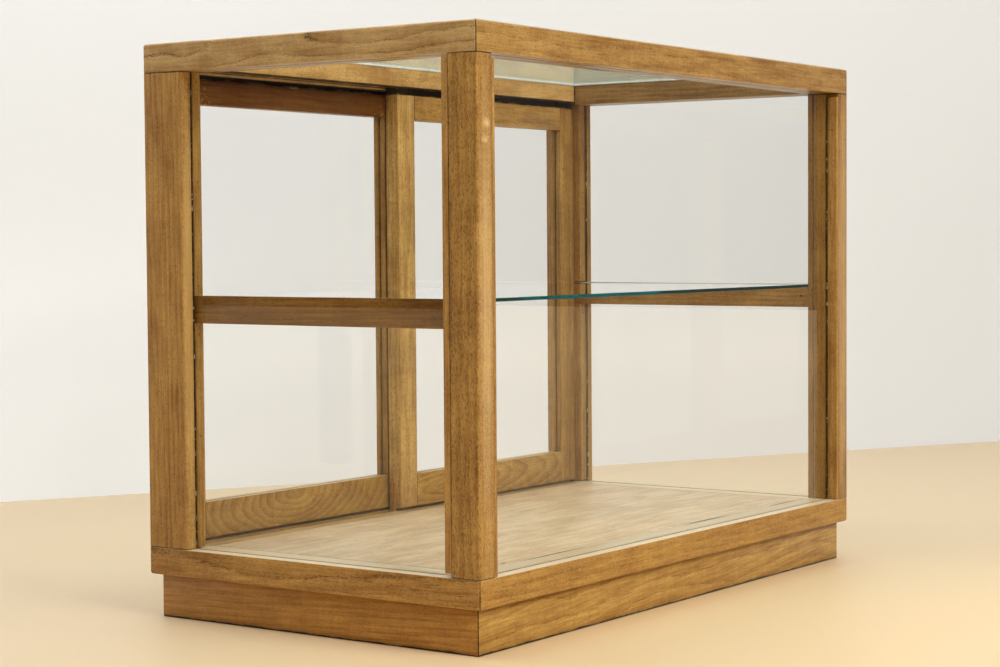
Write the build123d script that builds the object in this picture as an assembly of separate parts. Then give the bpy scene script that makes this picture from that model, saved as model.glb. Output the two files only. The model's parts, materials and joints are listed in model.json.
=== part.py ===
from build123d import *
import os
from math import copysign

# A counter-top glass display case in oiled hardwood: a plinth, a mitred base frame with a floor
# board, four posts, a mitred top frame, fixed glass on four sides, one glass shelf, and two glazed
# doors that slide past each other at the back.
# Origin: middle of the plinth's underside. X runs along the front, Y from front to back, Z up.
# All sizes are in millimetres.

os.makedirs("parts", exist_ok=True)

# Overall sizes
case_width = 636
case_depth = 360
case_height = 500

# Plinth
plinth_height = 38
plinth_inset = 8
plinth_board = 18
corner_block_leg = 30
corner_block_drop = 4

# Base frame, top frame and floor
base_rail_height = 24
top_rail_height = 25
rail_width = 34
frame_arris = 2.5
joint_arris = 0.8
floor_thickness = 9
floor_ledge = 8
top_glass_ledge = 8

# Posts
post_width = 24
front_post_depth = 34.6
post_arris = 2.5
bead_arris = 0.8
tenon_side = 10
tenon_inset = 3
tenon_length = 14
mortise_spare = 1

# Glass
glass_thickness = 3
glass_gap = 0.3
glass_setback = 11
groove_in_base = 4
groove_in_top = 9
pane_entry_top = 5.5
groove_in_post = 6.2
end_bead_width = 6.2
front_bead_width = 3.7
end_bead_short_top = 1.5
end_bead_short_bottom = 3.5
front_bead_short_top = 4
front_bead_short_bottom = 0.5

# Inner glazing strips, shelf rails and shelf
strip_depth = 12
strip_head_gap = 0.8
strip_foot_gap = 1.5
shelf_rise = 220
shelf_rail_height = 24
shelf_rebate_width = 5
shelf_rebate_depth = 4
shelf_thickness = 3
shelf_corner = 1.5
shelf_side_gap = 0.5
shelf_front_gap = 1.4
shelf_back_gap = 1.5

# Sliding doors, each with a tongue in its own track. Closed, they overlap by one stile.
door_thickness = 15
door_spacing = 2
door_width_difference = 4.6
inner_track_setback = 8
wood_behind_tracks = 6
stile_width = 26
inner_door_top_rail = 24
outer_door_top_rail = 21.5
door_bottom_rail = 32
door_gap_bottom = 3
door_gap_top = 4
tongue_thickness = 8
track_depth_bottom = 4
track_depth_top = 12
track_lip_relief = 3
tongue_entry_top = 5
door_glass_setback = 6
door_glass_entry = 6
door_tenon_thickness = 5
door_tenon_length = 18
door_tenon_shoulder = 5
pull_length = 56
pull_width = 11
pull_depth = 6
pull_rise = 208

# Fitting and running clearances
fit = 0.2
running = 0.3

# Places worked out from the sizes above
half_width = case_width / 2
half_depth = case_depth / 2
base_top = plinth_height + base_rail_height
top_under = case_height - top_rail_height
back_post_depth = inner_track_setback + 2 * door_thickness + door_spacing + wood_behind_tracks
side_share = back_post_depth / rail_width
rebate_in = glass_setback + glass_thickness + 2 * glass_gap
front_post_back = -half_depth + front_post_depth
back_post_front = half_depth - back_post_depth
strip_x = -half_width + rebate_in
rail_inner_x = -half_width + post_width
shelf_rail_top = base_top + shelf_rise
shelf_rail_low = shelf_rail_top - shelf_rail_height


def block(x_low, x_high, y_low, y_high, z_low, z_high):
    """A box between two corners."""
    size = (x_high - x_low, y_high - y_low, z_high - z_low)
    centre = ((x_low + x_high) / 2, (y_low + y_high) / 2, (z_low + z_high) / 2)
    return Pos(*centre) * Box(*size)


def grown(solid, x_gap, y_gap, z_below, z_above):
    """The box round a solid, larger by a gap on each side."""
    box = solid.bounding_box()
    return block(box.min.X - x_gap, box.max.X + x_gap, box.min.Y - y_gap, box.max.Y + y_gap,
                 box.min.Z - z_below, box.max.Z + z_above)


def mirrored(solid):
    """The same piece at the other end of the case."""
    return mirror(solid, about=Plane.YZ)


def prism(points, z_low, z_high):
    """A plan outline raised from one height to another."""
    outline = Plane.XY * make_face(Polyline(*points, close=True))
    return Pos(0, 0, z_low) * extrude(outline, z_high - z_low)


def soften_corners(solid, corners, radius):
    """Round the upright edges that stand at the given plan corners."""
    chosen = []
    for edge in solid.edges().filter_by(Axis.Z):
        middle = edge.center()
        if any(abs(middle.X - x) < running and abs(middle.Y - y) < running for x, y in corners):
            chosen.append(edge)
    return fillet(chosen, radius)


def save(name, *solids):
    """Write one named piece, or one group of like pieces."""
    shape = solids[0] if len(solids) == 1 else Compound(children=list(solids))
    export_step(shape, f"parts/{name}.step")


def save_pair(name, solid):
    """Write a left piece and its mirror image."""
    save(f"{name}_left", solid)
    save(f"{name}_right", mirrored(solid))


# Mitred frames: each rail is the part of a soft-edged slab that lies between two mitre lines

def frame_slab(z_low, z_high, free_side):
    """A slab with round corners and a round free side, and only a small arris where posts stand."""
    slab = block(-half_width, half_width, -half_depth, half_depth, z_low, z_high)
    levels = slab.edges().group_by(Axis.Z)
    free_edges = levels[0] if free_side == "below" else levels[-1]
    slab = fillet(slab.edges().filter_by(Axis.Z) + free_edges, frame_arris)
    levels = slab.edges().group_by(Axis.Z)
    joint_edges = levels[-1] if free_side == "below" else levels[0]
    return fillet(joint_edges, joint_arris)


def rectangle_corners(side, front, back):
    """Plan corners of a rectangle inset from the case's outline, front left first."""
    return [(-half_width + side, -half_depth + front), (half_width - side, -half_depth + front),
            (half_width - side, half_depth - back), (-half_width + side, half_depth - back)]


def mitred(outer, inner, z_low, z_high):
    """Four mitred bars between an outer and an inner rectangle."""
    bars = {}
    for index, name in enumerate(("front", "right", "back", "left")):
        after = (index + 1) % len(outer)
        bars[name] = prism([outer[index], outer[after], inner[after], inner[index]], z_low, z_high)
    return bars


# Fixed glass

glass_low = base_top - groove_in_base + glass_gap
glass_high = top_under + pane_entry_top
front_pane_half = half_width - post_width + front_bead_width - glass_gap
front_pane_y = -half_depth + glass_setback + glass_gap
front_glass = block(-front_pane_half, front_pane_half, front_pane_y, front_pane_y + glass_thickness,
                    glass_low, glass_high)

end_pane_x = -half_width + glass_setback + glass_gap
end_glass = block(end_pane_x, end_pane_x + glass_thickness,
                  front_post_back - end_bead_width + glass_gap,
                  back_post_front + groove_in_post - glass_gap, glass_low, glass_high)

# The top pane drops into a rebate and lies flush with the rails
top_glass_x = half_width - rail_width + top_glass_ledge
top_glass = block(-top_glass_x, top_glass_x, -half_depth + rail_width - top_glass_ledge,
                  back_post_front + top_glass_ledge * side_share,
                  case_height - glass_thickness, case_height)

save("front_glass", front_glass)
save("left_end_glass", end_glass)
save("right_end_glass", mirrored(end_glass))
save("top_glass", top_glass)

# The floor board drops into a rebate in the base frame, flush with its top
floor_x = half_width - rail_width
floor_panel = block(-floor_x, floor_x, -half_depth + rail_width, back_post_front,
                    base_top - floor_thickness, base_top)
save("floor_panel", floor_panel)

# Posts: plan outlines from the outer corner inwards, with the rebates that take glass and beads


def tenons(x_near, y_near):
    """Stub tenons at the foot and the head of a post."""
    foot = block(x_near, x_near + tenon_side, y_near, y_near + tenon_side,
                 base_top - tenon_length, base_top)
    head = block(x_near, x_near + tenon_side, y_near, y_near + tenon_side,
                 top_under, top_under + tenon_length)
    return foot, head


front_rebate_x = post_width - front_bead_width
end_rebate_y = front_post_depth - end_bead_width
front_outline = [(0, 0), (front_rebate_x, 0), (front_rebate_x, rebate_in), (post_width, rebate_in),
                 (post_width, front_post_depth), (rebate_in, front_post_depth),
                 (rebate_in, end_rebate_y), (0, end_rebate_y)]
front_corners = [(-half_width + x, -half_depth + y) for x, y in front_outline]
front_post = prism(front_corners, base_top, top_under)
front_post = soften_corners(front_post, [front_corners[0]], post_arris)
front_post = soften_corners(front_post, [front_corners[index] for index in (1, 4, 7)], bead_arris)
front_foot, front_head = tenons(-half_width + tenon_inset, -half_depth + tenon_inset)
save_pair("post_front", front_post + front_foot + front_head)

groove_y = back_post_depth - groove_in_post
strip_rebate_y = back_post_depth - strip_depth
back_outline = [(0, 0), (post_width, 0), (post_width, strip_rebate_y), (rebate_in, strip_rebate_y),
                (rebate_in, groove_y), (glass_setback, groove_y), (glass_setback, back_post_depth),
                (0, back_post_depth)]
back_corners = [(-half_width + x, half_depth - y) for x, y in back_outline]
back_post = prism(back_corners, base_top, top_under)
back_post = soften_corners(back_post, [back_corners[0], back_corners[7]], post_arris)
back_post = soften_corners(back_post, [back_corners[1]], bead_arris)
back_foot, back_head = tenons(-half_width + tenon_inset, half_depth - tenon_inset - tenon_side)
save_pair("post_back", back_post + back_foot + back_head)

# Outer beads close the panes at the front posts

end_bead = block(-half_width, -half_width + glass_setback, front_post_back - end_bead_width,
                 front_post_back, base_top + end_bead_short_bottom, top_under - end_bead_short_top)
end_bead = fillet(end_bead.edges().filter_by(Axis.Z).group_by(Axis.X)[0], bead_arris)
save_pair("end_bead", end_bead)

front_bead = block(-half_width + front_rebate_x, -half_width + post_width,
                   -half_depth, -half_depth + glass_setback,
                   base_top + front_bead_short_bottom, top_under - front_bead_short_top)
front_bead = fillet(front_bead.edges().filter_by(Axis.Z).group_by(Axis.Y)[0], bead_arris)
save_pair("front_bead", front_bead)

# Inner strips hold the end panes at the back posts, one above and one below the shelf rail


def inner_strip(z_low, z_high):
    """One length of strip in the back post's rebate."""
    strip = block(strip_x, rail_inner_x, back_post_front, back_post_front + strip_depth, z_low, z_high)
    edge = strip.edges().filter_by(Axis.Z).group_by(Axis.X)[-1].group_by(Axis.Y)[0]
    return fillet(edge, bead_arris)


save_pair("upper_strip", inner_strip(shelf_rail_top + strip_head_gap, top_under))
save_pair("lower_strip", inner_strip(base_top + strip_foot_gap, shelf_rail_low))

# Shelf rails run between the posts inside the end panes, with a rebate for the glass shelf

shelf_rail = block(strip_x, rail_inner_x, front_post_back, back_post_front + strip_depth,
                   shelf_rail_low, shelf_rail_top)
shelf_rebate = block(rail_inner_x - shelf_rebate_width, rail_inner_x, front_post_back,
                     back_post_front + strip_depth,
                     shelf_rail_top - shelf_rebate_depth, shelf_rail_top)
shelf_rail = shelf_rail - shelf_rebate
lower_edge = shelf_rail.edges().filter_by(Axis.Y).group_by(Axis.Z)[0].group_by(Axis.X)[-1]
save_pair("shelf_rail", fillet(lower_edge, bead_arris))

shelf_half = -rail_inner_x + shelf_rebate_width - shelf_side_gap
shelf_low = shelf_rail_top - shelf_rebate_depth + running
glass_shelf = block(-shelf_half, shelf_half, front_post_back + shelf_front_gap,
                    back_post_front - shelf_back_gap, shelf_low, shelf_low + shelf_thickness)
save("glass_shelf", fillet(glass_shelf.edges().filter_by(Axis.Z), shelf_corner))

# Door tracks: the inner door runs nearer the display, the outer door nearer the back face

inner_door_front = back_post_front + inner_track_setback
outer_door_front = inner_door_front + door_thickness + door_spacing
track_floor = base_top - track_depth_bottom
track_roof = top_under + track_depth_top


def track(door_front, z_low, z_high):
    """The groove that a door's tongue runs in, from post to post."""
    tongue_back = door_front + door_thickness
    reach = half_width - post_width
    return block(-reach, reach, tongue_back - tongue_thickness - running, tongue_back + running,
                 z_low, z_high)


def pane_groove(pane, z_low, z_high):
    """The groove for a pane's edge between two heights."""
    box = pane.bounding_box()
    return block(box.min.X - glass_gap, box.max.X + glass_gap, box.min.Y - glass_gap,
                 box.max.Y + glass_gap, z_low, z_high)


def frame_cuts(z_low, z_high, track_low, track_high):
    """Pane grooves and door tracks in one frame."""
    end_groove = pane_groove(end_glass, z_low, z_high)
    cuts = [pane_groove(front_glass, z_low, z_high), end_groove, mirrored(end_groove)]
    cuts += [track(y, track_low, track_high) for y in (inner_door_front, outer_door_front)]
    return cuts


def save_frame(name, bars, slab, cuts):
    """Shape each mitred bar to the slab, make its cuts and write it."""
    for side, bar in bars.items():
        rail = bar & slab
        for cut in cuts:
            rail = rail - cut
        save(f"{name}_{side}", rail)


outline = rectangle_corners(0, 0, 0)

# Base frame, with a ledge under the floor board
ledge_side = rail_width + floor_ledge
base_inner = rectangle_corners(ledge_side, ledge_side, back_post_depth + floor_ledge * side_share)
base_bars = mitred(outline, base_inner, plinth_height, base_top)
base_cuts = frame_cuts(base_top - groove_in_base, base_top, track_floor, base_top)
base_cuts.append(grown(floor_panel, fit, fit, 0, 0))
for foot in (front_foot, back_foot):
    mortise = grown(foot, fit / 2, fit / 2, mortise_spare, 0)
    base_cuts += [mortise, mirrored(mortise)]
save_frame("base_rail", base_bars, frame_slab(plinth_height, base_top, "below"), base_cuts)

# Top frame, with deeper tracks so that a door can be raised clear of the base and taken out
top_bars = mitred(outline, rectangle_corners(rail_width, rail_width, back_post_depth),
                  top_under, case_height)
top_cuts = frame_cuts(top_under, top_under + groove_in_top, top_under, track_roof)
top_cuts.append(grown(top_glass, fit, fit, 0, 0))
for head in (front_head, back_head):
    mortise = grown(head, fit / 2, fit / 2, 0, mortise_spare)
    top_cuts += [mortise, mirrored(mortise)]
# The lip in front of the inner track is planed short, which gives a raised door room
track_front = inner_door_front + door_thickness - tongue_thickness - running
lip_reach = half_width - post_width
top_cuts.append(block(-lip_reach, lip_reach, back_post_front, track_front,
                      top_under, top_under + track_lip_relief))
save_frame("top_rail", top_bars, frame_slab(top_under, case_height, "above"), top_cuts)

# Plinth: four mitred boards set back under the base frame, with a glue block in each corner

board_in = plinth_inset + plinth_board
plinth_corners = rectangle_corners(plinth_inset, plinth_inset, plinth_inset)
block_corners = rectangle_corners(board_in, board_in, board_in)
for side, board in mitred(plinth_corners, block_corners, 0, plinth_height).items():
    save(f"plinth_{side}", board)

corner_blocks = []
for x, y in block_corners:
    along_x = (x - copysign(corner_block_leg, x), y)
    along_y = (x, y - copysign(corner_block_leg, y))
    corner_blocks.append(prism([(x, y), along_x, along_y], corner_block_drop, plinth_height))
save("plinth_corner_blocks", *corner_blocks)

# Doors: stiles the full height, rails tenoned between them, and a pane let into grooves

door_low = base_top + door_gap_bottom
door_high = top_under - door_gap_top
tongue_low = track_floor + running
tongue_high = top_under + tongue_entry_top
opening_low = door_low + door_bottom_rail


def door_bar(x_low, x_high, y_front, z_low, z_high):
    """A bar of a door frame, cut back at the front where it goes into a track."""
    y_back = y_front + door_thickness
    y_tongue = y_back - tongue_thickness
    bar = block(x_low, x_high, y_front, y_back, z_low, z_high)
    if z_low < door_low:
        bar = bar - block(x_low, x_high, y_front, y_tongue, z_low, door_low)
    if z_high > door_high:
        bar = bar - block(x_low, x_high, y_front, y_tongue, door_high, z_high)
    return bar


def finger_pull(x_middle, y_back):
    """The round-ended hollow in a stile's back face."""
    outline = Plane.XZ * SlotOverall(pull_length, pull_width, rotation=90)
    return Pos(x_middle, y_back, base_top + pull_rise) * extrude(outline, pull_depth, both=True)


def save_door(name, x_left, width, y_front, top_rail, pull_side):
    """Make and write the five pieces of one door."""
    opening_high = door_high - top_rail
    x_right = x_left + width
    x_inner_left = x_left + stile_width
    x_inner_right = x_right - stile_width
    y_back = y_front + door_thickness
    y_pane = y_front + door_glass_setback
    y_tenon = y_pane + (glass_thickness - door_tenon_thickness) / 2
    entry = door_glass_entry - glass_gap
    pane = block(x_inner_left - entry, x_inner_right + entry, y_pane, y_pane + glass_thickness,
                 opening_low - entry, opening_high + entry)
    pane_slot = grown(pane, glass_gap, glass_gap / 2, glass_gap, glass_gap)

    stiles = {"left": door_bar(x_left, x_inner_left, y_front, tongue_low, tongue_high),
              "right": door_bar(x_inner_right, x_right, y_front, tongue_low, tongue_high)}
    rails = {"bottom": door_bar(x_inner_left, x_inner_right, y_front, tongue_low, opening_low),
             "top": door_bar(x_inner_left, x_inner_right, y_front, opening_high, tongue_high)}
    tenon_heights = {"bottom": (door_low + door_tenon_shoulder, opening_low - door_glass_entry),
                     "top": (opening_high + door_glass_entry, door_high - door_tenon_shoulder)}
    tenon_reach = {"left": (x_inner_left - door_tenon_length, x_inner_left),
                   "right": (x_inner_right, x_inner_right + door_tenon_length)}
    for position, (z_low, z_high) in tenon_heights.items():
        for side, (x_low, x_high) in tenon_reach.items():
            tenon = block(x_low, x_high, y_tenon, y_tenon + door_tenon_thickness, z_low, z_high)
            rails[position] = rails[position] + tenon
            stiles[side] = stiles[side] - grown(tenon, fit, fit / 2, fit / 2, fit / 2)
        save(f"{name}_{position}_rail", rails[position] - pane_slot)

    x_pull = {"left": x_left, "right": x_inner_right}[pull_side] + stile_width / 2
    stiles[pull_side] = stiles[pull_side] - finger_pull(x_pull, y_back)
    for side, stile in stiles.items():
        save(f"{name}_{side}_stile", stile - pane_slot)
    save(f"{name}_glass", pane)


clear_half = half_width - post_width - running
door_widths = 2 * clear_half + stile_width
inner_door_width = (door_widths - door_width_difference) / 2
outer_door_width = (door_widths + door_width_difference) / 2
save_door("inner_door", clear_half - inner_door_width, inner_door_width, inner_door_front,
          inner_door_top_rail, "right")
save_door("outer_door", -clear_half, outer_door_width, outer_door_front,
          outer_door_top_rail, "left")

print("door widths", inner_door_width, outer_door_width)
print("door travels", 2 * clear_half - inner_door_width, 2 * clear_half - outer_door_width)
print("shelf lift", top_under - shelf_low - shelf_thickness)
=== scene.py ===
import json
import math
import bpy
from mathutils import Euler, Matrix, Vector


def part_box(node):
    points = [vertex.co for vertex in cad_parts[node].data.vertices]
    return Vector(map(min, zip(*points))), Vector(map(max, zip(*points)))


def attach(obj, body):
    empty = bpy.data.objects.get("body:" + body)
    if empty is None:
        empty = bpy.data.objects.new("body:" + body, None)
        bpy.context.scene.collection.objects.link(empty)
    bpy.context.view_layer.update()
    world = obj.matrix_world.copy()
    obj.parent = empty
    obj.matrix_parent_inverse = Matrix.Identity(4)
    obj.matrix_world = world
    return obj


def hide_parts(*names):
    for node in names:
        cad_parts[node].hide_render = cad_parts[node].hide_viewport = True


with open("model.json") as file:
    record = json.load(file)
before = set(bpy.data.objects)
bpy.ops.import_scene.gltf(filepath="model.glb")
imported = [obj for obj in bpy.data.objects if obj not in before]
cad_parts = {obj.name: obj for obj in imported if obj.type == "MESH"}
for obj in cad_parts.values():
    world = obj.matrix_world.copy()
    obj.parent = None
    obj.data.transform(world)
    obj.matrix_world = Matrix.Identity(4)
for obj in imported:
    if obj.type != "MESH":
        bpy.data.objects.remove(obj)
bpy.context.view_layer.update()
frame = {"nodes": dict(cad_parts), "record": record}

# Glass display case: soft-edged timber, sheet glass, the small marks of use, and some painted light and
# shade.
# Boards and panes come from the imported model, and marks, putty and brads are placed on them.
# X runs along the front, Y to the back, Z up, in metres.

mm = 0.001
bodies = frame["record"]["behaviour"]["bodies"]
bodyOfNode = {node: body for body, nodes in bodies.items() for node in nodes}


def colour(red, green, blue):
    # a colour as it is seen on screen, 0 to 255, turned to light values
    return [(value / 255) ** 2.2 for value in (red, green, blue)] + [1]


# Small helpers for node trees

def addNode(tree, kind, **settings):
    node = tree.nodes.new(kind)
    for name, value in settings.items():
        setattr(node, name, value)
    return node


def feed(tree, socket, value):
    # a socket takes another node's output or a plain value
    if isinstance(value, bpy.types.NodeSocket):
        tree.links.new(value, socket)
    else:
        socket.default_value = value


def mathOf(tree, operation, *values):
    node = addNode(tree, "ShaderNodeMath", operation=operation)
    for socket, value in zip(node.inputs, values):
        feed(tree, socket, value)
    return node.outputs[0]


def times(tree, first, second):
    return mathOf(tree, "MULTIPLY", first, second)


def opposite(tree, value):
    return mathOf(tree, "SUBTRACT", 1.0, value)


def centred(tree, value):
    # from 0 to 1 it becomes -0.5 to 0.5
    return mathOf(tree, "SUBTRACT", value, 0.5)


def vectorMath(tree, operation, *values):
    node = addNode(tree, "ShaderNodeVectorMath", operation=operation)
    for socket, value in zip(node.inputs, values):
        feed(tree, socket, value)
    return node.outputs["Value" if operation in ("DOT_PRODUCT", "LENGTH") else "Vector"]


def ramped(tree, value, low, high, start=0.0, end=1.0):
    # a soft step of one value between two limits, with the results at them
    node = addNode(tree, "ShaderNodeMapRange", interpolation_type="SMOOTHSTEP")
    for socket, given in zip(node.inputs, (value, low, high, start, end)):
        feed(tree, socket, given)
    return node.outputs[0]


def noiseOf(tree, vector, seed=0.0, detail=2.0, roughness=0.5):
    node = addNode(tree, "ShaderNodeTexNoise", noise_dimensions="4D")
    feed(tree, node.inputs["Vector"], vector)
    feed(tree, node.inputs["W"], seed)
    node.inputs["Scale"].default_value = 1
    node.inputs["Detail"].default_value = detail
    node.inputs["Roughness"].default_value = roughness
    return node.outputs["Fac"]


def grainNoise(tree, vector, scale, seed, detail, roughness=0.5):
    # the scale is per metre, along the grain and across it
    along, across = scale
    stretched = vectorMath(tree, "MULTIPLY", vector, (along, across, across))
    return noiseOf(tree, stretched, seed, detail, roughness)


def mixed(tree, share, first, second, blend="MIX"):
    # the node's inputs 6 and 7 are its two colours
    node = addNode(tree, "ShaderNodeMix", data_type="RGBA", blend_type=blend)
    feed(tree, node.inputs[0], share)
    feed(tree, node.inputs[6], first)
    feed(tree, node.inputs[7], second)
    return node.outputs[2]


def mixedShaders(tree, share, first, second):
    node = addNode(tree, "ShaderNodeMixShader")
    for socket, value in zip(node.inputs, (share, first, second)):
        feed(tree, socket, value)
    return node.outputs[0]


def roughen(tree, surface, height, strength, depth=0.4 * mm):
    # fine relief, as deep as the depth where the height is 1
    bump = addNode(tree, "ShaderNodeBump")
    bump.inputs["Strength"].default_value = strength
    bump.inputs["Distance"].default_value = depth
    feed(tree, bump.inputs["Height"], height)
    feed(tree, surface.inputs["Normal"], bump.outputs[0])


def newMaterial(name):
    material = bpy.data.materials.new(name)
    material.use_nodes = True
    return material, material.node_tree, material.node_tree.nodes["Principled BSDF"]


def newGroup(name, vectors, numbers, results):
    group = bpy.data.node_groups.new(name, "ShaderNodeTree")
    for labels, kind, way in ((vectors, "NodeSocketVector", "INPUT"), (numbers, "NodeSocketFloat", "INPUT"),
                              (results, "NodeSocketFloat", "OUTPUT")):
        for label in labels:
            group.interface.new_socket(name=label, in_out=way, socket_type=kind)
    return group, group.nodes.new("NodeGroupInput"), group.nodes.new("NodeGroupOutput")


def useGroup(tree, group, **values):
    node = addNode(tree, "ShaderNodeGroup")
    node.node_tree = group
    for name, value in values.items():
        feed(tree, node.inputs[name], value)
    return node.outputs


# The figure of open-pored timber: rings round a heart that lies beside the board, with dark
# pores where each ring starts. The grain runs along the vector's first axis.

figureNoises = {
    "quick": {"scale": (45, 80), "detail": 2.0},
    "dotted": {"scale": (330, 800), "detail": 1.0, "roughness": 0.6},
    "broken": {"scale": (24, 70), "detail": 1.0},
    "pores": {"scale": (360, 1250), "detail": 1.0},
    "dashes": {"scale": (65, 900), "detail": 0.5},
    "patch": {"scale": (17, 46), "detail": 3.0, "roughness": 0.55},
    "fibre": {"scale": (26, 470), "detail": 4.0, "roughness": 0.6},
    "flame": {"scale": (150, 50), "detail": 2.0},
    "speck": {"scale": (900, 1400), "detail": 0.0},
}

# two limits for each soft step, and for some the values at them
figureSteps = {
    "strong": (0.0, 0.8, 0.1, 1.0), "poreRow": (0.2 * mm, 1.1 * mm, 1.0, 0.0), "ringEnd": (0.95, 1.0),
    "dotted": (0.4, 0.58, 0.15, 1.0), "broken": (0.36, 0.6, 0.25, 1.0), "pores": (0.5, 0.7),
    "dashes": (0.66, 0.73), "inPatch": (0.4, 0.6), "speck": (0.88, 0.94),
}


def buildTimberFigure():
    shape = {"waveAcross": 12, "waveDetail": 1.5, "quickSwing": 0.5, "poresByRing": 0.05,
             "specksByPatch": 0.3}
    group, given, made = newGroup(
        "timberFigure", ["Vector"], ["Spacing", "Wander", "Wave", "Seed"],
        ["Ring", "Line", "Pores", "Dashes", "Fibre", "Patch", "Flame", "Speck"])
    place = given.outputs["Vector"]
    seed = given.outputs["Seed"]
    spacing = given.outputs["Spacing"]

    def noise(name):
        return grainNoise(group, place, seed=seed, **figureNoises[name])

    def step(name, value):
        return ramped(group, value, *figureSteps[name])

    across = vectorMath(group, "LENGTH", vectorMath(group, "MULTIPLY", place, (0, 1, 1)))

    # slow wander of the rings along the board gives arches on flat-sawn faces
    waveScale = addNode(group, "ShaderNodeCombineXYZ")
    scales = (given.outputs["Wave"], shape["waveAcross"], shape["waveAcross"])
    for socket, scale in zip(waveScale.inputs, scales):
        feed(group, socket, scale)
    waved = vectorMath(group, "MULTIPLY", place, waveScale.outputs[0])
    slow = centred(group, noiseOf(group, waved, seed, shape["waveDetail"]))
    radius = mathOf(group, "MULTIPLY_ADD", slow, given.outputs["Wander"], across)
    rings = mathOf(group, "DIVIDE", radius, spacing)
    count = mathOf(group, "MULTIPLY_ADD", centred(group, noise("quick")), shape["quickSwing"], rings)
    phase = mathOf(group, "FRACT", count)

    # chance makes some rings strong and some faint
    pair = addNode(group, "ShaderNodeCombineXYZ")
    feed(group, pair.inputs[0], mathOf(group, "FLOOR", count))
    feed(group, pair.inputs[1], seed)
    chance = addNode(group, "ShaderNodeTexWhiteNoise", noise_dimensions="2D")
    feed(group, chance.inputs["Vector"], pair.outputs[0])
    strong = step("strong", chance.outputs["Value"])

    # each ring starts with a thin row of dark pores, broken here and there
    edge = mathOf(group, "MAXIMUM", step("poreRow", times(group, phase, spacing)), step("ringEnd", phase))
    dotted = times(group, step("dotted", noise("dotted")), step("broken", noise("broken")))

    patch = noise("patch")
    pores = mathOf(group, "MULTIPLY_ADD", edge, shape["poresByRing"], noise("pores"))
    # pale specks stand for glints off the fibres: painted highlight
    specks = mathOf(group, "MULTIPLY_ADD", patch, shape["specksByPatch"], noise("speck"))
    results = {
        "Ring": phase,
        "Line": times(group, times(group, edge, strong), dotted),
        "Pores": step("pores", pores),
        "Dashes": times(group, step("dashes", noise("dashes")), step("inPatch", patch)),
        "Fibre": noise("fibre"),
        "Patch": patch,
        "Flame": noise("flame"),
        "Speck": step("speck", specks),
    }
    for label, value in results.items():
        feed(group, made.inputs[label], value)
    return group


# Rubbed edges that also carry a painted highlight, and painted shade in corners, both found from the shape
# itself

def buildEdgeAndCornerShade():
    settings = {"samples": 4, "bend": (0.01, 0.2), "patches": (0.35, 0.65, 0.4, 1.0),
                "closed": (0.3, 0.95), "uneven": {"scale": (60, 160), "seed": 3.0, "detail": 3.0}}
    group, given, made = newGroup("edgeWearHighlightAndCornerShade", ["Vector"], ["Width", "Reach"], ["Edge", "Corner"])
    rounded = addNode(group, "ShaderNodeBevel", samples=settings["samples"])
    feed(group, rounded.inputs["Radius"], given.outputs["Width"])
    flat = addNode(group, "ShaderNodeNewGeometry").outputs["True Normal"]
    bend = opposite(group, vectorMath(group, "DOT_PRODUCT", rounded.outputs[0], flat))
    uneven = grainNoise(group, given.outputs["Vector"], **settings["uneven"])
    edge = times(group, ramped(group, bend, *settings["bend"]), ramped(group, uneven, *settings["patches"]))
    # closeness to other surfaces gives the painted shade in corners
    closeness = addNode(group, "ShaderNodeAmbientOcclusion", samples=settings["samples"])
    feed(group, closeness.inputs["Distance"], given.outputs["Reach"])
    corner = ramped(group, opposite(group, closeness.outputs["AO"]), *settings["closed"])
    feed(group, made.inputs["Edge"], edge)
    feed(group, made.inputs["Corner"], corner)
    return group


# A dark line on a plane given by its normal and its distance from the origin: where two boards meet, and on
# some boards a line of painted shade

def buildSeamAndShadeLine():
    settings = {"uneven": {"scale": (60, 60), "seed": 1.0, "detail": 3.0}, "widths": (0.3, 0.7, 0.6, 1.3),
                "line": (0.6, 1.1, 1.0, 0.0),
                "openings": {"scale": (11, 11), "seed": 5.0, "detail": 1.0}, "opened": (0.42, 0.56)}
    group, given, made = newGroup("seamAndShadeLine", ["Vector", "Normal"], ["Offset", "Width", "Gaps"], ["Line"])
    place = given.outputs["Vector"]
    reach = vectorMath(group, "DOT_PRODUCT", place, given.outputs["Normal"])
    away = mathOf(group, "ABSOLUTE", mathOf(group, "SUBTRACT", reach, given.outputs["Offset"]))
    uneven = ramped(group, grainNoise(group, place, **settings["uneven"]), *settings["widths"])
    width = times(group, given.outputs["Width"], uneven)
    line = ramped(group, mathOf(group, "DIVIDE", away, width), *settings["line"])
    opened = ramped(group, grainNoise(group, place, **settings["openings"]), *settings["opened"])
    kept = opposite(group, times(group, given.outputs["Gaps"], opposite(group, opened)))
    feed(group, made.inputs["Line"], times(group, line, kept))
    return group


# One mark at a place, as a soft ellipsoid with an uneven rim: a stain, knot or crack, and on some boards
# patches of painted light and painted shadow

def buildMark():
    settings = {"rim": {"scale": (400, 400), "seed": 2.0, "detail": 2.0}, "rimSwing": 0.7, "outside": 1.05}
    group, given, made = newGroup("woodMark", ["Vector", "Centre", "Size"], ["Softness"], ["Mask"])
    place = given.outputs["Vector"]
    offset = vectorMath(group, "SUBTRACT", place, given.outputs["Centre"])
    away = vectorMath(group, "LENGTH", vectorMath(group, "DIVIDE", offset, given.outputs["Size"]))
    rim = centred(group, grainNoise(group, place, **settings["rim"]))
    shaken = mathOf(group, "MULTIPLY_ADD", rim, settings["rimSwing"], away)
    inside = opposite(group, given.outputs["Softness"])
    feed(group, made.inputs["Mask"], ramped(group, shaken, inside, settings["outside"], 1.0, 0.0))
    return group


timberFigure = buildTimberFigure()
edgeWearHighlightAndCornerShade = buildEdgeAndCornerShade()
seamAndShadeLine = buildSeamAndShadeLine()
woodMark = buildMark()
print("shared shader groups built")


# One oiled timber for all boards. The tones are shared, and each board sets what differs.

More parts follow.
